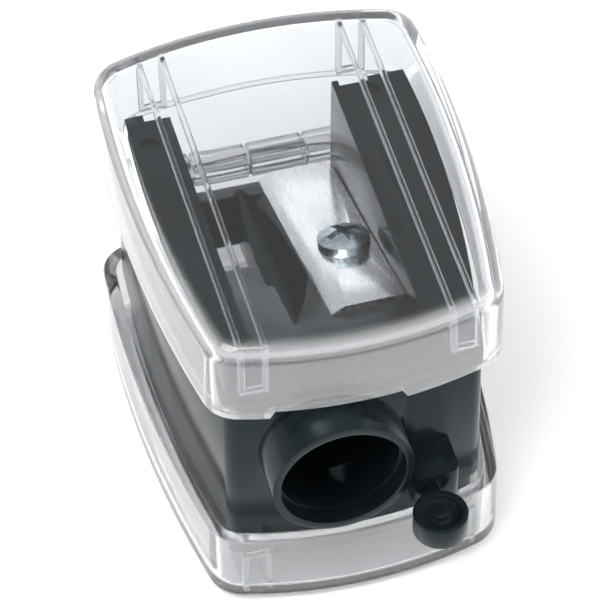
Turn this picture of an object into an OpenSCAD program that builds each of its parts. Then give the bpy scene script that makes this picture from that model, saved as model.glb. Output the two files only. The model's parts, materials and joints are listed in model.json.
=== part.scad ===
// Container sharpener for thick pencils, in millimetres: a black waist between two clear covers.
// +Z up, +Y to the back: the pencil goes in along +Y. Inside the file every Y is counted from the
// front face of the covers and every Z from the middle plane; place() moves both to the part's origin.

/* [Covers] */
// Width of the covers where they are widest
cover_w = 33.6; // [33.2:0.1:35]
// Length of the covers, front to back
cover_l = 44.2; // [44.2:0.1:44.4]
// Height over both covers
total_h = 36.86; // [36.4:0.02:39]
// Height of the black band's place between the rims of the covers
rim_gap = 18.08; // [18:0.02:18.4]
// Wall of the clear covers
cover_wall = 1.3; // [1.1:0.05:1.4]
// Rounding of the long outer edges
edge_r = 2; // [1.6:0.1:2.4]
// Rounding of the upright corners
corner_r = 3.6; // [3.5:0.1:4.2]
// Radius of the bowed sides, seen from above
side_arc_r = 125; // [120:1:150]
// Radius of the bowed front, seen from above
front_arc_r = 43; // [40:1:60]
// Radius of the bowed back, seen from above
rear_arc_r = 50; // [48:1:60]
// Width of the ribbed rails under the ceiling
rail_w = 2.8; // [2.4:0.1:3.2]
// Sideways place of the rails
rail_x = 10.1; // [9.6:0.1:10.3]

/* [Housing] */
// Height of the black band round the waist
waist_h = 17.5; // [16.8:0.1:17.6]
// How far the waist stands back from the outside of the covers
waist_inset = 1.9; // [1.7:0.05:2.05]
// Height over the arms, upper ledge to lower ledge
arms_h = 27.2; // [26:0.1:27.2]
// How far the arms stand back from the sides of the covers
arms_inset = 2.35; // [2.2:0.05:2.6]
// How far the arms stand back from the front of the covers
arms_front_inset = 3.1; // [3.1:0.05:3.3]
// Inner face of the left arm
gap_left = -9.45; // [-9.6:0.05:-9.2]
// Inner face of the right arm
gap_right = 6.95; // [6.95:0.05:7.3]
// Thickness of the front wall
front_wall = 2.3; // [2:0.1:2.5]

/* [Pencil guide] */
// Sideways place of the pencil's axis
pencil_x = -2.8; // [-2.85:0.05:-2.75]
// Height of the pencil's axis over the middle plane
pencil_z = 2; // [1.9:0.05:2.05]
// Diameter of the guide bore
guide_d = 11.8; // [11.4:0.1:11.9]
// Diameter of the mouth
mouth_d = 12.3; // [12.1:0.1:12.7]
// Depth of the mouth
mouth_depth = 1.8; // [1:0.1:2.4]
// Outer diameter of the collar
collar_d = 13.9; // [13.6:0.1:14]
// How far the collar stands out of the front wall
collar_reach = 4.1; // [3.6:0.1:4.6]
// Half of the angle of the pencil's point
point_angle = 17.6; // [17.4:0.1:17.8]

/* [Blade and screw] */
// Length of the blade
blade_l = 28; // [26:0.5:28.5]
// Width of the blade, cutting edge to back
blade_w = 7.45; // [7:0.05:7.45]
// Thickness of the blade
blade_t = 0.8; // [0.6:0.05:0.9]
// Width of the ground bevel
bevel_w = 1.4; // [1:0.1:1.8]
// Diameter of the screw's head
screw_head_d = 5.2; // [4.6:0.1:5.6]
// Height of the screw's head
screw_head_h = 1.7; // [1.5:0.1:1.9]
// Diameter of the screw's shank
screw_d = 2.2; // [2:0.1:2.3]
// Length of the screw's shank under the blade
screw_l = 4; // [3:0.5:5]

/* [Hinge] */
// Diameter of the hinge barrel
barrel_d = 2.6; // [2.4:0.05:2.65]
// Diameter of the hinge pin
pin_d = 1.2; // [1:0.05:1.3]

/* [Cleaning tool] */
// Diameter of the round grip
grip_d = 5.3; // [4.8:0.1:5.6]
// Thickness of the round grip
grip_t = 2.3; // [2.2:0.05:2.6]
// Diameter of the rod
rod_d = 1.8; // [1.6:0.05:1.9]
// Sideways place of the tool
tool_x = 5.85; // [5.7:0.05:5.9]
// How far the rod reaches in behind the front of the covers
rod_reach = 15.2; // [12:0.2:18]

/* [Hidden] */

$fn = 48;
ARC_STEPS = 10;
CORNER_STEPS = 8;
EDGE_STEPS = 4;
// Small overlap that joins solids of one piece, how deep a branch roots in another solid, gap between
// fixed pieces, play round a pin or rod, and the reach of a long cut
JOIN = 0.05;
ROOT = 0.5;
FIT = 0.02;
PLAY = 0.1;
FAR = 60;

half_h = total_h / 2;
rim_z = rim_gap / 2;
waist_z = waist_h / 2;
ledge_z = arms_h / 2;
half_l = cover_l / 2;
widest_y = 28.2;

wall_back_y = waist_inset + front_wall;
left_end_y = 36.6;
right_end_y = 36.3;
left_step_x = -12;
left_step_y = 37.5;
right_step_x = 10.5;
right_step_y = 36.9;
lip_w = 0.65;
lip_y = 37.05;
rear_wall_t = 1.5;
// The band's two ends wrap round the back up to here
return_x = 12.15;
return_y = 38.2;
// Shallow round marks on the ledges
marks = [[-12.2, 33.4], [10.2, 35]];
mark_d = 1.9;
mark_depth = 0.6;

// The sharpening core and the plane the blade lies on
core_bottom = -5;
core_end_y = 37.2;
deck_slope = tan(point_angle);
seat_z = pencil_z - 0.5;
apex_y = core_end_y - 0.4;
apex_r = 0.15;
cone_start_y = apex_y - guide_d / 2 / deck_slope;
window_y = 22.1;
window_x = -3.2;
web_y = 35.2;
groove_end_y = web_y - 0.4;
groove_l = 25.6;
groove_drop = 1.7;
blade_x = -0.55;
blade_edge_t = 0.12;
screw_x = 3.86;
screw_y = 21.1;
blade_hole_d = screw_d + 0.5;
cross_turn = 20;
cross_l = 3.4;
cross_w = 0.8;
cross_depth = 1.1;

// The hinge behind the covers
hinge_y = cover_l + 0.4;
hinge_z = -1.8;
barrel_r = barrel_d / 2;
hinge_gap = 0.3;
knuckle_web_l = 2.4;
apron_x = 11.85;
lug_x = 12.3;
lug_end_x = 14.2;
lug_start_y = cover_l - 6.7;
upper_knuckles = [[-11.85, -6.2], [0.15, 5.9]];
lower_knuckles = [[-5.9, -0.15], [6.2, 11.85]];

// Details of the covers
ceiling_z = half_h - cover_wall;
inner_edge_r = edge_r - 0.9;
rail_t = 0.5;
rail_h = 0.8;
front_bracket_l = 3.1;
front_bracket_z = rim_z + 2.8;
back_bracket_l = 2.9;
back_bracket_z = rim_z + 1;
notch_x = -2.55;
notch_w = 12.9;
notch_h = 0.95;
notch_depth = 4;

// The cleaning tool and its holder
tool_z = -3.4;
grip_y = -5.1;
holder_front_y = -1.6;
holder_x0 = 4.4;
holder_x1 = 8.9;
holder_z0 = -5.6;
holder_z1 = -1.1;
holder_r = 1;
dish_depth = 0.35;
dish_rim = 0.7;
boss_d = 1.6;
boss_h = 0.25;
tip_flat_l = 4;
tip_flat_t = 0.9;

// Half-way between the front of the grip and the back of the hinge barrel
origin_y = -(hinge_y + barrel_r + grip_y - grip_d / 2) / 2;

// Height of the plane under the blade at a distance y from the front
function seat_height(y) = seat_z + deck_slope * (core_end_y - y);

// Centre of a corner's rounding: it lies corner_r inside both the side's arc and an end's arc
function corner_centre(end_y, end_r, turn) =
    let (p = [cover_w / 2 - side_arc_r, widest_y], q = [0, end_y], a = side_arc_r - corner_r,
         b = end_r - corner_r, d = norm(q - p), u = (q - p) / d,
         t = (a * a - b * b + d * d) / (2 * d), h = sqrt(a * a - t * t))
    p + t * u + turn * h * [-u[1], u[0]];

function bearing(p, q) = atan2(q[1] - p[1], q[0] - p[0]);
function arc(c, r, a0, a1, n) =
    [for (i = [0:n]) let (a = a0 + (a1 - a0) * i / n) c + r * [cos(a), sin(a)]];

// Right half of the outline moved in by inset, from the middle of the front to the middle of the back
function right_half(inset) =
    let (side = [cover_w / 2 - side_arc_r, widest_y], fy = front_arc_r, ry = cover_l - rear_arc_r,
         fc = corner_centre(fy, front_arc_r, -1), rc = corner_centre(ry, rear_arc_r, 1),
         f_end = bearing([0, fy], fc), f_side = bearing(side, fc),
         r_side = bearing(side, rc), r_end = bearing([0, ry], rc))
    concat(arc([0, fy], front_arc_r - inset, -90, f_end, ARC_STEPS),
           arc(fc, corner_r - inset, f_end, f_side, CORNER_STEPS),
           arc(side, side_arc_r - inset, f_side, r_side, ARC_STEPS),
           arc(rc, corner_r - inset, r_side, r_end, CORNER_STEPS),
           arc([0, ry], rear_arc_r - inset, r_end, 90, ARC_STEPS));

// The right half without the doubled points where two arcs meet, and without its two end points
function trimmed(half) = [for (i = [1:len(half) - 2]) if (norm(half[i] - half[i + 1]) > 0.001) half[i]];

function outline_points(inset) =
    let (half = right_half(inset), mid = trimmed(half), n = len(mid))
    concat([half[0]], mid, [half[len(half) - 1]], [for (i = [n - 1:-1:0]) [-mid[i][0], mid[i][1]]]);

// Upright prism on the outline
module prism(inset, z0, z1) {
    translate([0, 0, z0]) linear_extrude(z1 - z0) polygon(outline_points(inset));
}

module block(x0, x1, y0, y1, z0, z1) {
    translate([x0, y0, z0]) cube([x1 - x0, y1 - y0, z1 - z0]);
}

// Round bar along Y, and one along X on the hinge's axis
module rod_y(d, x, z, y0, y1) {
    translate([x, y0, z]) rotate([-90, 0, 0]) cylinder(d = d, h = y1 - y0);
}

module hinge_rod(d, x0, x1) {
    translate([x0, hinge_y, hinge_z]) rotate([0, 90, 0]) cylinder(d = d, h = x1 - x0);
}

module place() {
    translate([0, origin_y, half_h]) children();
}

// X as before, Y up the slope to the back, Z square to the blade's seat
module on_seat(x, y) {
    translate([x, y, seat_height(y)]) rotate([-point_angle, 0, 0]) children();
}

// Solid of a cover's tray with its long edges rounded by r
module tray_solid(inset, z0, z1, r) {
    hull() {
        prism(inset, z0, z1 - r);
        for (i = [1:EDGE_STEPS]) {
            a = 90 * i / EDGE_STEPS;
            z = z1 - r + r * sin(a);
            edge = inset + r * (1 - cos(a));
            prism(edge, z - 0.02, z);
        }
    }
}

// Rail of two thin ribs under the ceiling, ending in a frame on the front wall and one on the back
module rail(x) {
    intersection() {
        union() {
            for (side = [-1, 1]) {
                x0 = x + side * (rail_w - rail_t) / 2 - rail_t / 2;
                x1 = x0 + rail_t;
                block(x0, x1, 0, cover_l, ceiling_z - rail_h, ceiling_z + JOIN);
                block(x0, x1, 0, front_bracket_l, front_bracket_z, ceiling_z + JOIN);
                block(x0, x1, cover_l - back_bracket_l, cover_l, back_bracket_z, ceiling_z + JOIN);
            }
            block(x - rail_w / 2, x + rail_w / 2, 0, front_bracket_l,
                  front_bracket_z, front_bracket_z + rail_t);
            block(x - rail_w / 2, x + rail_w / 2, cover_l - back_bracket_l, cover_l,
                  back_bracket_z, back_bracket_z + rail_t);
        }
        prism(cover_wall - JOIN, 0, half_h);
    }
}

// One cover without its hinge, drawn as the upper one
module tray() {
    difference() {
        tray_solid(0, rim_z, half_h, edge_r);
        tray_solid(cover_wall, rim_z - 1, ceiling_z, inner_edge_r);
    }
    rail(rail_x);
    rail(-rail_x);
}

// Wall that closes the back between the rim and a height z, for x0 to x1
module apron(x0, x1, z0, z1) {
    intersection() {
        difference() {
            prism(0, z0, z1);
            prism(cover_wall, z0 - 1, z1 + 1);
        }
        block(x0, x1, half_l, cover_l + 1, z0, z1);
    }
}

// Barrel pieces of the hinge with the webs that carry them
module knuckles(places) {
    for (k = places) difference() {
        union() {
            hinge_rod(barrel_d, k[0], k[1]);
            block(k[0], k[1], hinge_y - knuckle_web_l, hinge_y, hinge_z - barrel_r, hinge_z + barrel_r);
        }
        hinge_rod(pin_d + PLAY, k[0] - 1, k[1] + 1);
    }
}

module upper_cover() {
    low = hinge_z + barrel_r + hinge_gap;
    color([0.92, 0.95, 0.97, 0.35]) place() {
        difference() {
            tray();
            block(notch_x - notch_w / 2, notch_x + notch_w / 2, -1, notch_depth, rim_z - 1, rim_z + notch_h);
        }
        apron(-apron_x, apron_x, low, rim_z + JOIN);
        for (k = upper_knuckles) difference() {
            apron(k[0], k[1], hinge_z - barrel_r, low + JOIN);
            hinge_rod(pin_d + PLAY, k[0] - 1, k[1] + 1);
        }
        knuckles(upper_knuckles);
    }
}

module lower_cover() {
    high = hinge_z - barrel_r - hinge_gap;
    color([0.92, 0.95, 0.97, 0.35]) place() {
        mirror([0, 0, 1]) tray();
        apron(-apron_x, apron_x, -rim_z - JOIN, high);
        for (k = lower_knuckles) difference() {
            apron(k[0], k[1], high - JOIN, hinge_z + barrel_r);
            hinge_rod(pin_d + PLAY, k[0] - 1, k[1] + 1);
        }
        knuckles(lower_knuckles);
    }
}

// Front wall, the two arms and the waist band that wraps round the rear corners
module shell() {
    difference() {
        prism(waist_inset, -waist_z, waist_z);
        block(gap_left, gap_right, wall_back_y, FAR, -FAR, FAR);
        // Chamber behind the arms, open at the back for the covers' hinge
        difference() {
            prism(waist_inset + rear_wall_t, -FAR, FAR);
            arms_footprint();
        }
        block(-return_x, return_x, return_y, FAR, -FAR, FAR);
    }
    intersection() {
        prism(arms_inset, -ledge_z, ledge_z);
        translate([0, arms_front_inset - arms_inset, 0]) prism(arms_inset, -ledge_z, ledge_z);
        difference() {
            arms_footprint();
            block(gap_left, gap_right, wall_back_y, FAR, -FAR, FAR);
        }
    }
}

// Everything in front of the stepped ends of the arms
module arms_footprint() {
    block(-FAR, 0, -1, left_end_y, -FAR, FAR);
    block(0, FAR, -1, right_end_y, -FAR, FAR);
    block(-FAR, left_step_x, -1, left_step_y, -FAR, FAR);
    block(right_step_x, FAR, -1, right_step_y, -FAR, FAR);
    block(gap_right, gap_right + lip_w, -1, lip_y, -FAR, FAR);
}

// Block on the front wall that holds the cleaning tool
module holder() {
    difference() {
        block(holder_x0, holder_x1, holder_front_y, wall_back_y - ROOT, holder_z0, holder_z1);
        difference() {
            block(holder_x1 - holder_r, holder_x1 + 1, holder_front_y - 1, holder_front_y + holder_r,
                  -FAR, FAR);
            translate([holder_x1 - holder_r, holder_front_y + holder_r, -FAR])
                cylinder(r = holder_r, h = 2 * FAR);
        }
    }
}

module hinge_lug(x0, x1) {
    hinge_rod(barrel_d, x0, x1);
    block(x0, x1, lug_start_y, hinge_y, hinge_z - barrel_r, hinge_z + barrel_r);
}

module housing() {
    collar_y = waist_inset - collar_reach;
    color([0.08, 0.1, 0.11]) place() difference() {
        union() {
            shell();
            holder();
            rod_y(collar_d, pencil_x, pencil_z, collar_y, wall_back_y - ROOT);
            hinge_lug(lug_x, lug_end_x);
            hinge_lug(-lug_end_x, -lug_x);
        }
        rod_y(mouth_d, pencil_x, pencil_z, collar_y - 1, collar_y + mouth_depth);
        rod_y(guide_d, pencil_x, pencil_z, collar_y, wall_back_y + 1);
        rod_y(rod_d + PLAY, tool_x, tool_z, holder_front_y - 1, wall_back_y + 1);
        hinge_rod(pin_d + FIT, -FAR / 2, FAR / 2);
        for (side = [-1, 1], mark = marks)
            translate([mark[0], mark[1], side * ledge_z])
                cylinder(d = mark_d, h = 2 * mark_depth, center = true);
    }
}

module sharpening_core() {
    color([0.09, 0.11, 0.12]) place() difference() {
        block(gap_left + FIT, gap_right - FIT, wall_back_y + FIT, core_end_y, core_bottom, ledge_z);
        // The sloped deck
        on_seat(0, core_end_y) translate([-FAR / 2, -FAR, 0]) cube([FAR, 2 * FAR, FAR]);
        // Guide bore, then the cone for the point
        translate([pencil_x, 0, pencil_z]) rotate([-90, 0, 0]) rotate_extrude()
            polygon([[0, 0], [guide_d / 2, 0], [guide_d / 2, cone_start_y], [apex_r, apex_y], [0, apex_y]]);
        // Window beside the cone, through which the shavings fall
        block(gap_left - 1, window_x, window_y, web_y, -FAR, FAR);
        // Sloping groove along the cutting edge, which opens into the cone
        on_seat(0, groove_end_y) rotate([90, 0, 0]) linear_extrude(groove_l)
            polygon([[window_x - 1, 1], [window_x - 1, -groove_drop], [blade_x, 0], [blade_x, 1]]);
        on_seat(screw_x, screw_y) translate([0, 0, -screw_l - ROOT])
            cylinder(d = screw_d + PLAY, h = screw_l + 2);
        rod_y(rod_d + PLAY, tool_x, tool_z, 0, rod_reach + 1);
    }
}

// Steel blade with a ground bevel down to the cutting edge on its left
module blade() {
    color([0.85, 0.86, 0.88]) place() difference() {
        on_seat(blade_x, core_end_y) translate([0, 0, FIT]) rotate([90, 0, 0]) linear_extrude(blade_l)
            polygon([[0, 0], [blade_w, 0], [blade_w, blade_t], [bevel_w, blade_t], [0, blade_edge_t]]);
        on_seat(screw_x, screw_y) translate([0, 0, -1]) cylinder(d = blade_hole_d, h = blade_t + 2);
    }
}

// Pan-head screw with a cross recess
module blade_screw() {
    head_z = blade_t + 2 * FIT;
    head_top = head_z + screw_head_h;
    dome_r = screw_head_d * 0.9;
    color([0.6, 0.65, 0.68]) place() on_seat(screw_x, screw_y) difference() {
        union() {
            intersection() {
                translate([0, 0, head_z]) cylinder(d = screw_head_d, h = screw_head_h);
                translate([0, 0, head_top - dome_r]) sphere(r = dome_r);
            }
            translate([0, 0, -screw_l]) cylinder(d = screw_d, h = screw_l + head_z + JOIN);
        }
        for (turn = [cross_turn, cross_turn + 90]) rotate([0, 0, turn])
            translate([-cross_l / 2, -cross_w / 2, head_top - cross_depth]) cube([cross_l, cross_w, 2]);
    }
}

module hinge_pin() {
    color([0.9, 0.93, 0.95, 0.5]) place() hinge_rod(pin_d, -lug_end_x, lug_end_x);
}

// Round flat grip on a rod with a flattened tip
module cleaning_tool() {
    top = tool_z + grip_t / 2;
    color([0.07, 0.09, 0.1]) place() {
        difference() {
            translate([tool_x, grip_y, tool_z - grip_t / 2]) cylinder(d = grip_d, h = grip_t);
            translate([tool_x, grip_y, top - dish_depth]) cylinder(d = grip_d - 2 * dish_rim, h = 1);
        }
        translate([tool_x, grip_y, top - dish_depth - JOIN]) cylinder(d = boss_d, h = boss_h + JOIN);
        difference() {
            rod_y(rod_d, tool_x, tool_z, grip_y + grip_d / 2 - ROOT, rod_reach);
            difference() {
                block(tool_x - rod_d, tool_x + rod_d, rod_reach - tip_flat_l, rod_reach + 1,
                      tool_z - rod_d, tool_z + rod_d);
                block(-FAR, FAR, 0, FAR, tool_z - tip_flat_t / 2, tool_z + tip_flat_t / 2);
            }
        }
    }
}

housing();
sharpening_core();
blade();
blade_screw();
upper_cover();
lower_cover();
hinge_pin();
cleaning_tool();
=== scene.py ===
"""Container sharpener for thick pencils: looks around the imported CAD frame, in metres."""
import json
import math

import bmesh
import bpy
from mathutils import Matrix, Vector


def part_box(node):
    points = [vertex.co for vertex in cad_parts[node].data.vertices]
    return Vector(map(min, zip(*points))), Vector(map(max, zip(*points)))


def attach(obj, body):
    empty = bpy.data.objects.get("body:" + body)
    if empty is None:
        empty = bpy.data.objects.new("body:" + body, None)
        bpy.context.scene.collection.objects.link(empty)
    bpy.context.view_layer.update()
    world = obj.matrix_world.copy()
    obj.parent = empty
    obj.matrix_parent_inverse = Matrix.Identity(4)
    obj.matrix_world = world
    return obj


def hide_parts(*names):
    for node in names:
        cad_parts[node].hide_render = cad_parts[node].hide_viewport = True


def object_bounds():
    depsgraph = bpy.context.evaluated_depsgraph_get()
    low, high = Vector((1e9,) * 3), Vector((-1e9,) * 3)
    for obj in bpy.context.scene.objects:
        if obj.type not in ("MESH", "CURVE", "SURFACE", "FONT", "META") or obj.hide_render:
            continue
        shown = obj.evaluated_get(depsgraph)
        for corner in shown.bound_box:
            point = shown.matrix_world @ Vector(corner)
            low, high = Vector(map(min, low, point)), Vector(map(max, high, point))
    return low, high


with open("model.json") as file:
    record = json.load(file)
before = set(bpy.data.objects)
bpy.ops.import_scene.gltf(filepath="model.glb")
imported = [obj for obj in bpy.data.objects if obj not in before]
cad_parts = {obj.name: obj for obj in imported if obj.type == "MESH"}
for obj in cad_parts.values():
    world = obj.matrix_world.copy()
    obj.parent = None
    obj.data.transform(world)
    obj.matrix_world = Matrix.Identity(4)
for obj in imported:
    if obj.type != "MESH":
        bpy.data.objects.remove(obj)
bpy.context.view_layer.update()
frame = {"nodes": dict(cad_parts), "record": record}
RECORD = frame["record"]
MM = 0.001

# ---------------------------------------------------------------- places and sizes
UPPER_LOW, UPPER_HIGH = (Vector(v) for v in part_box("upper_cover"))
LOWEST = Vector(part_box("lower_cover")[0])
HINGE = next(j for j in RECORD["behaviour"]["joints"] if j["name"] == "upper_cover_hinge")["pos_m"]
MID_Z = (UPPER_HIGH.z + LOWEST.z) / 2
FRONT_Y = UPPER_LOW.y
HALF_H = UPPER_HIGH.z - MID_Z

# outline of the covers, seen from above
LENGTH = 44.2 * MM
HALF_L = LENGTH / 2
HALF_W = 16.8 * MM
WIDEST_Y = 28.2 * MM
SIDE_R, FRONT_R, REAR_R, CORNER_R = 125 * MM, 43 * MM, 50 * MM, 3.6 * MM
END_STEPS, CORNER_STEPS, SIDE_STEPS = 24, 14, 28

# section of the covers: heights count from the middle plane
RIM = 9.04 * MM
WALL = 1.3 * MM
EDGE_R = 2.0 * MM
INNER_R = EDGE_R - 0.9 * MM
# bevel on rims and blocks
SOFT = 0.12 * MM
OUTER_STEPS, INNER_STEPS = 12, 8
NOTCH_X, NOTCH_HALF_W, NOTCH_H, NOTCH_DEPTH = -2.55 * MM, 6.45 * MM, 0.95 * MM, 4 * MM

# rails: two ribs each, with a frame on the front wall and one on the back wall
RAIL_X = 10.1 * MM
RAIL_HALF_W = 1.4 * MM
RIB_X = 1.15 * MM
RIB_HALF_T = 0.25 * MM
RIB_H = 0.8 * MM
RIB_INSET = 0.3 * MM
FRAME_T = 0.75 * MM
FRAME_BAR = 0.5 * MM
FRONT_FRAME, BACK_FRAME = 2.8 * MM, 1.0 * MM
# how far the rails go into the walls and the ceiling
WALL_BITE = 0.1 * MM
CEILING_BITE = 0.05 * MM
# keeps the faces of blocks that are merged out of one plane
NUDGE = 0.03 * MM

# hinge
BARREL_R = 1.3 * MM
BORE_R = 0.65 * MM
BARREL_CHAMFER = 0.1 * MM
BARREL_SIDES = 48
WEB_FROM, WEB_TO = 2.4 * MM, 0.75 * MM
GAP = 0.3 * MM
APRON_X = 11.85 * MM
APRON_LAP = 0.02 * MM
# how far the apron passes the hinge's axis where it carries a barrel
APRON_REACH = 0.9 * BARREL_R
APRON_STEPS = 120
UPPER_BARRELS = [(-11.85 * MM, -6.2 * MM), (0.15 * MM, 5.9 * MM)]
LOWER_BARRELS = [(-5.9 * MM, -0.15 * MM), (6.2 * MM, 11.85 * MM)]


# ---------------------------------------------------------------- materials
def material(name, base, rough, metal=0.0, **sockets):
    made = bpy.data.materials.new(name)
    made.use_nodes = True
    shader = made.node_tree.nodes["Principled BSDF"]
    shader.inputs["Base Color"].default_value = (*base, 1)
    shader.inputs["Roughness"].default_value = rough
    shader.inputs["Metallic"].default_value = metal
    for socket, value in sockets.items():
        shader.inputs[socket.replace("_", " ")].default_value = value
    return made, made.node_tree.nodes, made.node_tree.links, shader


def noise(nodes, links, scale, detail=3.0, stretch=(1, 1, 1)):
    place = nodes.new("ShaderNodeTexCoord")
    mapping = nodes.new("ShaderNodeMapping")
    mapping.inputs["Scale"].default_value = stretch
    speckle = nodes.new("ShaderNodeTexNoise")
    speckle.inputs["Scale"].default_value = scale
    speckle.inputs["Detail"].default_value = detail
    links.new(place.outputs["Object"], mapping.inputs["Vector"])
    links.new(mapping.outputs["Vector"], speckle.inputs["Vector"])
    return speckle.outputs["Fac"]


def fill_ramp(ramp, stops):
    """Give a colour ramp grey stops, of which the first is at 0 and the last at 1."""
    for spot, grey in stops:
        ends = {0.0: ramp.elements[0], 1.0: ramp.elements[-1]}
        stop = ends[spot] if spot in ends else ramp.elements.new(spot)
        stop.color = (grey, grey, grey, 1)


def ranged(nodes, links, source, low, high, target):
    """Feed target with low to high over the middle of source, a noise."""
    spread = nodes.new("ShaderNodeMapRange")
    spread.inputs["From Min"].default_value = 0.3
    spread.inputs["From Max"].default_value = 0.7
    spread.inputs["To Min"].default_value = low
    spread.inputs["To Max"].default_value = high
    links.new(source, spread.inputs["Value"])
    links.new(spread.outputs["Result"], target)


def tinted(nodes, links, source, dark, light, target):
    """Feed target with dark to light over the middle of source, a noise."""
    ramp = nodes.new("ShaderNodeValToRGB")
    ramp.color_ramp.elements[0].position = 0.35
    ramp.color_ramp.elements[1].position = 0.65
    ramp.color_ramp.elements[0].color = (*dark, 1)
    ramp.color_ramp.elements[1].color = (*light, 1)
    links.new(source, ramp.inputs["Fac"])
    links.new(ramp.outputs["Color"], target)


def bumped(nodes, links, source, strength, distance, target):
    bump = nodes.new("ShaderNodeBump")
    bump.inputs["Strength"].default_value = strength
    bump.inputs["Distance"].default_value = distance
    links.new(source, bump.inputs["Height"])
    links.new(bump.outputs["Normal"], target)


def black_plastic(name, rough_low, rough_high, grain):
    made, nodes, links, shader = material(name, (0.012, 0.017, 0.019), 0.2, IOR=1.5)
    shader.inputs["Specular IOR Level"].default_value = 0.24
    shader.inputs["Specular Tint"].default_value = (0.74, 0.93, 1.0, 1)
    wide = noise(nodes, links, 140)
    tinted(nodes, links, wide, (0.003, 0.005, 0.006), (0.006, 0.009, 0.011), shader.inputs["Base Color"])
    ranged(nodes, links, wide, rough_low, rough_high, shader.inputs["Roughness"])
    if grain:
        bumped(nodes, links, noise(nodes, links, 5200, 2), 0.15, 0.00001, shader.inputs["Normal"])
    else:
        bumped(nodes, links, wide, 0.15, 0.0001, shader.inputs["Normal"])
    return made


# how clear the plastic is, from upright walls (0) over the rounded edges to flat ceilings (1); the milkier
# upright walls and rounded edges are painted reflection, standing in for the whitish reflections seen at a
# grazing angle
CLARITY_AND_PAINTED_REFLECTION = ((0.0, 0.84), (0.2, 1.0), (0.55, 0.7), (0.9, 0.9), (1.0, 1.0))


def clear_plastic(name):
    made, nodes, links, shader = material(name, (0.93, 0.942, 0.958), 0.02, IOR=1.36)
    place, parts = nodes.new("ShaderNodeTexCoord"), nodes.new("ShaderNodeSeparateXYZ")
    slope, clear = nodes.new("ShaderNodeMath"), nodes.new("ShaderNodeValToRGB")
    slope.operation = "ABSOLUTE"
    # less clear on upright walls and rounded edges by their slope: painted reflection of grazing light,
    # made milky white
    fill_ramp(clear.color_ramp, CLARITY_AND_PAINTED_REFLECTION)
    links.new(place.outputs["Normal"], parts.inputs["Vector"])
    links.new(parts.outputs["Z"], slope.inputs[0])
    links.new(slope.outputs["Value"], clear.inputs["Fac"])
    links.new(clear.outputs["Color"], shader.inputs["Transmission Weight"])
    wide = noise(nodes, links, 90, 2)
    ranged(nodes, links, wide, 0.005, 0.045, shader.inputs["Roughness"])
    bumped(nodes, links, wide, 0.05, 0.0002, shader.inputs["Normal"])
    return made


def steel(name, base, rough, stretch, scale, bump, spread):
    made, nodes, links, shader = material(name, base, rough, 1.0)
    grain = noise(nodes, links, scale, 4, stretch)
    dark = tuple(tone * (1 - spread) for tone in base)
    tinted(nodes, links, grain, dark, base, shader.inputs["Base Color"])
    ranged(nodes, links, grain, rough * 0.7, rough * 1.4, shader.inputs["Roughness"])
    bumped(nodes, links, grain, bump, 0.00002, shader.inputs["Normal"])
    return made


CLEAR = clear_plastic("clear_plastic")
BLACK = black_plastic("black_plastic", 0.13, 0.21, False)
TOOL = black_plastic("black_plastic_tool", 0.24, 0.34, True)
BLADE = steel("blade_steel", (0.77, 0.775, 0.79), 0.22, (14, 0.6, 1), 900, 0.06, 0.05)
ZINC = steel("zinc_steel", (0.5, 0.57, 0.6), 0.2, (1, 1, 1), 1100, 0.3, 0.3)


def shading_group(degrees):
    """Node group that smooths a surface but keeps edges sharper than an angle."""
    group = bpy.data.node_groups.new("smooth_surface", "GeometryNodeTree")
    group.interface.new_socket("Geometry", in_out="INPUT", socket_type="NodeSocketGeometry")
    group.interface.new_socket("Geometry", in_out="OUTPUT", socket_type="NodeSocketGeometry")
    group_in, group_out = group.nodes.new("NodeGroupInput"), group.nodes.new("NodeGroupOutput")
    angle = group.nodes.new("GeometryNodeInputMeshEdgeAngle")
    sharper = group.nodes.new("FunctionNodeCompare")
    sharper.data_type, sharper.operation = "FLOAT", "GREATER_THAN"
    sharper.inputs["B"].default_value = math.radians(degrees)
    edges, faces = (group.nodes.new("GeometryNodeSetShadeSmooth") for _ in range(2))
    edges.domain, faces.domain = "EDGE", "FACE"
    edges.inputs["Shade Smooth"].default_value = False
    group.links.new(angle.outputs["Unsigned Angle"], sharper.inputs["A"])
    group.links.new(group_in.outputs[0], faces.inputs["Geometry"])
    group.links.new(faces.outputs[0], edges.inputs["Geometry"])
    group.links.new(sharper.outputs["Result"], edges.inputs["Selection"])
    group.links.new(edges.outputs[0], group_out.inputs[0])
    return group


SMOOTH = shading_group(32)

for node, look in {"housing": BLACK, "sharpening_core": BLACK, "blade": BLADE, "blade_screw": ZINC,
                  "hinge_pin": CLEAR, "cleaning_tool": TOOL}.items():
    piece = frame["nodes"][node]
    for i in range(len(piece.material_slots)):
        piece.material_slots[i].link = "OBJECT"
        piece.material_slots[i].material = look
    piece.modifiers.new("weld", "WELD").merge_threshold = 2e-6
    if node not in ("blade_screw", "hinge_pin"):
        bevel = piece.modifiers.new("edge", "BEVEL")
        bevel.width = (0.08 if node == "blade" else 0.16) * MM
        bevel.segments = 2
        bevel.limit_method = "ANGLE"
        bevel.angle_limit = math.radians(50)
        bevel.use_clamp_overlap = True
    piece.modifiers.new("smooth", "NODES").node_group = SMOOTH


# ---------------------------------------------------------------- covers
def corner_centre(end_y, end_r, turn):
    """Centre of a corner's rounding, inside both the side's arc and an end's arc."""
    p, q = Vector((HALF_W - SIDE_R, WIDEST_Y)), Vector((0, end_y))
    a, b, d = SIDE_R - CORNER_R, end_r - CORNER_R, (q - p).length
    u = (q - p) / d
    t = (a * a - b * b + d * d) / (2 * d)
    return p + u * t + Vector((-u.y, u.x)) * turn * math.sqrt(a * a - t * t)


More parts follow.
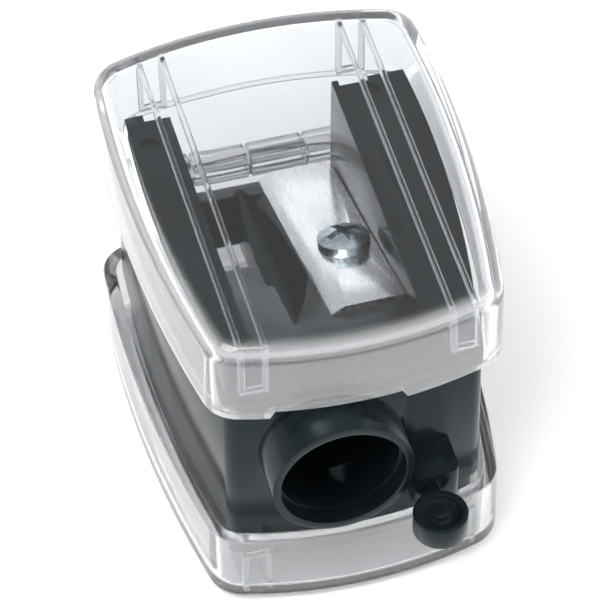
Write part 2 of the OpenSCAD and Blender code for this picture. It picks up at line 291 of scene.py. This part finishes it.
def outline(inset):
    """Ring of points of the covers' outline, moved in by inset, in the object's frame at height 0."""
    side, front_y, rear_y = Vector((HALF_W - SIDE_R, WIDEST_Y)), FRONT_R, LENGTH - REAR_R
    front_corner, rear_corner = corner_centre(front_y, FRONT_R, -1), corner_centre(rear_y, REAR_R, 1)

    def bearing(p, q):
        return math.atan2(q.y - p.y, q.x - p.x)

    front, rear = Vector((0, front_y)), Vector((0, rear_y))
    runs = [(front, FRONT_R, -math.pi / 2, bearing(front, front_corner), END_STEPS),
            (front_corner, CORNER_R, bearing(front, front_corner), bearing(side, front_corner),
             CORNER_STEPS),
            (side, SIDE_R, bearing(side, front_corner), bearing(side, rear_corner), SIDE_STEPS),
            (rear_corner, CORNER_R, bearing(side, rear_corner), bearing(rear, rear_corner),
             CORNER_STEPS),
            (rear, REAR_R, bearing(rear, rear_corner), math.pi / 2, END_STEPS)]
    half = []
    for centre, radius, start, end, steps in runs:
        reach = radius - inset
        for i in range(1 if half else 0, steps + 1):
            angle = start + (end - start) * i / steps
            half.append((centre.x + reach * math.cos(angle), centre.y + reach * math.sin(angle)))
    ring = half + [(-x, y) for x, y in reversed(half[1:-1])]
    return [Vector((x, FRONT_Y + y, 0)) for x, y in ring]


STEPS = len(outline(0))


def new_object(name, bm, smooth=True):
    bmesh.ops.remove_doubles(bm, verts=bm.verts, dist=1e-7)
    bmesh.ops.recalc_face_normals(bm, faces=bm.faces)
    mesh = bpy.data.meshes.new(name)
    bm.to_mesh(mesh)
    bm.free()
    made = bpy.data.objects.new(name, mesh)
    bpy.context.scene.collection.objects.link(made)
    mesh.materials.append(CLEAR)
    if smooth:
        for face in mesh.polygons:
            face.use_smooth = True
    return made


def tray_mesh(sign, notched):
    """Shell of one cover: rings up the outside, over the rim, and up the inside."""
    bm = bmesh.new()
    outer = [(SOFT, RIM), (0.0, RIM + SOFT), (0.0, HALF_H - EDGE_R)]
    for k in range(1, OUTER_STEPS + 1):
        a = math.pi / 2 * k / OUTER_STEPS
        outer.append((EDGE_R * (1 - math.cos(a)), HALF_H - EDGE_R + EDGE_R * math.sin(a)))
    inner = [(WALL - SOFT, RIM), (WALL, RIM + SOFT), (WALL, HALF_H - WALL - INNER_R)]
    for k in range(1, INNER_STEPS + 1):
        a = math.pi / 2 * k / INNER_STEPS
        inner.append((WALL + INNER_R * (1 - math.cos(a)), HALF_H - WALL - INNER_R + INNER_R * math.sin(a)))

    def ring(inset, z, rim):
        verts = []
        for p in outline(inset):
            in_notch = p.y < FRONT_Y + NOTCH_DEPTH and abs(p.x - NOTCH_X) < NOTCH_HALF_W
            lift = NOTCH_H if rim and notched and in_notch else 0
            verts.append(bm.verts.new((p.x, p.y, MID_Z + sign * (z + lift))))
        return verts

    def skin(a, b):
        for i in range(STEPS):
            j = (i + 1) % STEPS
            bm.faces.new((a[i], a[j], b[j], b[i]))

    outside = [ring(d, z, k < 2) for k, (d, z) in enumerate(outer)]
    inside = [ring(d, z, k < 2) for k, (d, z) in enumerate(inner)]
    for rings in (outside, inside):
        for a, b in zip(rings, rings[1:]):
            skin(a, b)
        bm.faces.new(rings[-1])
    skin(outside[0], inside[0])
    return bm


def add_block(bm, x0, x1, y0, y1, z0, z1):
    """Block with softened edges; z0 and z1 may come in either order."""
    low, high = min(z0, z1), max(z0, z1)
    centre = Matrix.Translation(((x0 + x1) / 2, (y0 + y1) / 2, (low + high) / 2))
    size = Matrix.Diagonal((x1 - x0, y1 - y0, high - low, 1))
    made = bmesh.ops.create_cube(bm, size=1, matrix=centre @ size)
    edges = {e for v in made["verts"] for e in v.link_edges}
    bmesh.ops.bevel(bm, geom=list(edges), offset=SOFT, segments=2, affect="EDGES", profile=0.5)


def wall_y(x, inset, front):
    """Y of the cover's outline at x, on its front or its back."""
    points = [p for p in outline(inset) if (p.y < FRONT_Y + HALF_L) == front]
    points.sort(key=lambda p: p.x)
    for p, q in zip(points, points[1:]):
        if p.x <= x <= q.x and q.x > p.x:
            return p.y + (q.y - p.y) * (x - p.x) / (q.x - p.x)
    return points[-1].y


def rail_mesh(sign):
    """Ribs under the ceiling, with the frames they end in on the front and the back wall."""
    bm = bmesh.new()
    ceiling = HALF_H - WALL
    top = ceiling + CEILING_BITE

    def at(height):
        return MID_Z + sign * height

    for side in (-1, 1):
        x = side * RAIL_X
        front = wall_y(x, WALL, True) - WALL_BITE
        rear = wall_y(x, WALL, False) + WALL_BITE
        frames = ((front, front + FRAME_T, RIM + FRONT_FRAME), (rear - FRAME_T, rear, RIM + BACK_FRAME))
        for rib in (-1, 1):
            a, b = x + rib * RIB_X - RIB_HALF_T, x + rib * RIB_X + RIB_HALF_T
            add_block(bm, a, b, front + RIB_INSET, rear - RIB_INSET, at(ceiling - RIB_H), at(top))
            for y0, y1, low in frames:
                add_block(bm, a - NUDGE, b + NUDGE, y0, y1, at(low), at(top - NUDGE))
        for y0, y1, low in frames:
            add_block(bm, x - RAIL_HALF_W + NUDGE, x + RAIL_HALF_W - NUDGE, y0 + NUDGE, y1 - NUDGE,
                      at(low + NUDGE), at(low + FRAME_BAR))
    return bm


def apron_mesh(z_of, sign):
    """Back wall between the rim and the hinge; z_of gives where it ends at x."""
    bm = bmesh.new()
    top = MID_Z + sign * (RIM + APRON_LAP)
    cols = []
    for i in range(APRON_STEPS + 1):
        x = -APRON_X + 2 * APRON_X * i / APRON_STEPS
        z = z_of(x)
        yo, yi = wall_y(x, 0, False), wall_y(x, WALL, False)
        cols.append([bm.verts.new(c) for c in ((x, yo, z), (x, yo, top), (x, yi, top), (x, yi, z))])
    for a, b in zip(cols, cols[1:]):
        for k in range(4):
            m = (k + 1) % 4
            bm.faces.new((a[k], a[m], b[m], b[k]))
    bm.faces.new(cols[0])
    bm.faces.new(cols[-1])
    return bm


def barrel_mesh(places):
    """Hinge barrels round the pin, each with the web that joins it to its wall."""
    bm = bmesh.new()
    shoulder = BARREL_R - BARREL_CHAMFER
    turns = [2 * math.pi * i / BARREL_SIDES for i in range(BARREL_SIDES)]
    for x0, x1 in places:
        rings = []
        for x, r in ((x0, BORE_R), (x0, shoulder), (x0 + BARREL_CHAMFER, BARREL_R),
                     (x1 - BARREL_CHAMFER, BARREL_R), (x1, shoulder), (x1, BORE_R)):
            rings.append([bm.verts.new((x, HINGE[1] + r * math.cos(t), HINGE[2] + r * math.sin(t)))
                          for t in turns])
        for a, b in zip(rings, rings[1:] + rings[:1]):
            for i in range(BARREL_SIDES):
                j = (i + 1) % BARREL_SIDES
                bm.faces.new((a[i], a[j], b[j], b[i]))
        add_block(bm, x0, x1, HINGE[1] - WEB_FROM, HINGE[1] - WEB_TO,
                  HINGE[2] - BARREL_R, HINGE[2] + BARREL_R)
    return bm


def within(x, places):
    slack = 0.01 * MM
    return any(a - slack <= x <= b + slack for a, b in places)


def unite(ob):
    """Merge the blocks of a piece that run into each other into one skin."""
    merge = ob.modifiers.new("union", "BOOLEAN")
    merge.operation, merge.operand_type, merge.solver = "UNION", "COLLECTION", "EXACT"
    merge.use_self = True


def build_cover(tag, sign, body, node, barrels, notched):
    """Pieces of one cover on its body; sign is 1 for the upper and -1 for the lower cover."""
    def edge(x):
        if within(x, barrels):
            return HINGE[2] - sign * APRON_REACH
        return HINGE[2] + sign * (BARREL_R + GAP)

    shell = new_object(tag, tray_mesh(sign, notched))
    rails = new_object(tag + "_rails", rail_mesh(sign), False)
    apron = new_object(tag + "_apron", apron_mesh(edge, sign), False)
    knuckles = new_object(tag + "_barrels", barrel_mesh(barrels), False)
    for ob in (shell, rails, apron, knuckles):
        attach(ob, body)
    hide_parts(node)
    unite(rails)
    unite(knuckles)
    # the rounded edges shade smooth, the rims stay sharp
    shell.data.set_sharp_from_angle(angle=math.radians(35))


build_cover("top_shell", 1, "top_cover", "upper_cover", UPPER_BARRELS, True)
build_cover("bottom_shell", -1, "bottom_cover", "lower_cover", LOWER_BARRELS, False)

# ---------------------------------------------------------------- stage, light, camera
scene = bpy.context.scene
# leaves the floor just under the object, so that their faces don't share a plane
FLOOR_GAP = 0.00005
floor_mesh = bpy.data.meshes.new("floor")
bm = bmesh.new()
bmesh.ops.create_grid(bm, x_segments=2, y_segments=2, size=2.0)
bm.to_mesh(floor_mesh)
bm.free()
floor = bpy.data.objects.new("floor", floor_mesh)
scene.collection.objects.link(floor)
floor.location = (0, 0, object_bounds()[0][2] - FLOOR_GAP)
floor_look, nodes, links, shader = material("floor_white", (0.93, 0.93, 0.93), 0.7)
tinted(nodes, links, noise(nodes, links, 6), (0.92, 0.92, 0.92), (0.94, 0.94, 0.94),
       shader.inputs["Base Color"])
floor_mesh.materials.append(floor_look)

world = bpy.data.worlds.new("studio")
scene.world = world
world.use_nodes = True
sky_nodes, sky_links = world.node_tree.nodes, world.node_tree.links
sky_co = sky_nodes.new("ShaderNodeTexCoord")
sky_z = sky_nodes.new("ShaderNodeSeparateXYZ")
sky = sky_nodes.new("ShaderNodeValToRGB")
sky_links.new(sky_co.outputs["Generated"], sky_z.inputs["Vector"])
sky_links.new(sky_z.outputs["Z"], sky.inputs["Fac"])
sky_links.new(sky.outputs["Color"], sky_nodes["Background"].inputs["Color"])
# white at and below the horizon like a studio's cove, dimmer half-way up, white again overhead
fill_ramp(sky.color_ramp, ((0.0, 1.0), (0.32, 0.8), (0.6, 0.6), (1.0, 1.0)))
sky_nodes["Background"].inputs["Strength"].default_value = 1.05


def area(name, place, aim, size, power):
    lamp = bpy.data.lights.new(name, "AREA")
    lamp.energy, lamp.size, lamp.shape = power, size, "SQUARE"
    holder = bpy.data.objects.new(name, lamp)
    scene.collection.objects.link(holder)
    holder.location = place
    holder.rotation_euler = (Vector(aim) - Vector(place)).to_track_quat("-Z", "Y").to_euler()


area("key", (-0.25, -0.2, 0.5), (0, 0, 0.02), 0.35, 2.8)
area("fill", (0.4, -0.2, 0.3), (0, 0, 0.02), 0.3, 1.0)
area("cove", (0.05, 0.6, 0.15), (0, 0, 0.02), 0.3, 0.3)
scene.view_settings.view_transform = "Standard"

cam = bpy.data.cameras.new("camera")
cam.lens, cam.sensor_width = 277, 36
cam_ob = bpy.data.objects.new("camera", cam)
scene.collection.objects.link(cam_ob)
cam_place = Vector((-77.9, -287.475, 353.63)) * MM
right = Vector((0.96426, -0.26487, -0.00670))
forward = Vector((0.17217, 0.64558, -0.74404))
turn = Matrix((right, right.cross(forward), -forward)).transposed()
cam_ob.matrix_world = Matrix.Translation(cam_place) @ turn.to_4x4()
cam.clip_start, cam.clip_end = 0.01, 10
scene.camera = cam_ob

bpy.context.view_layer.update()
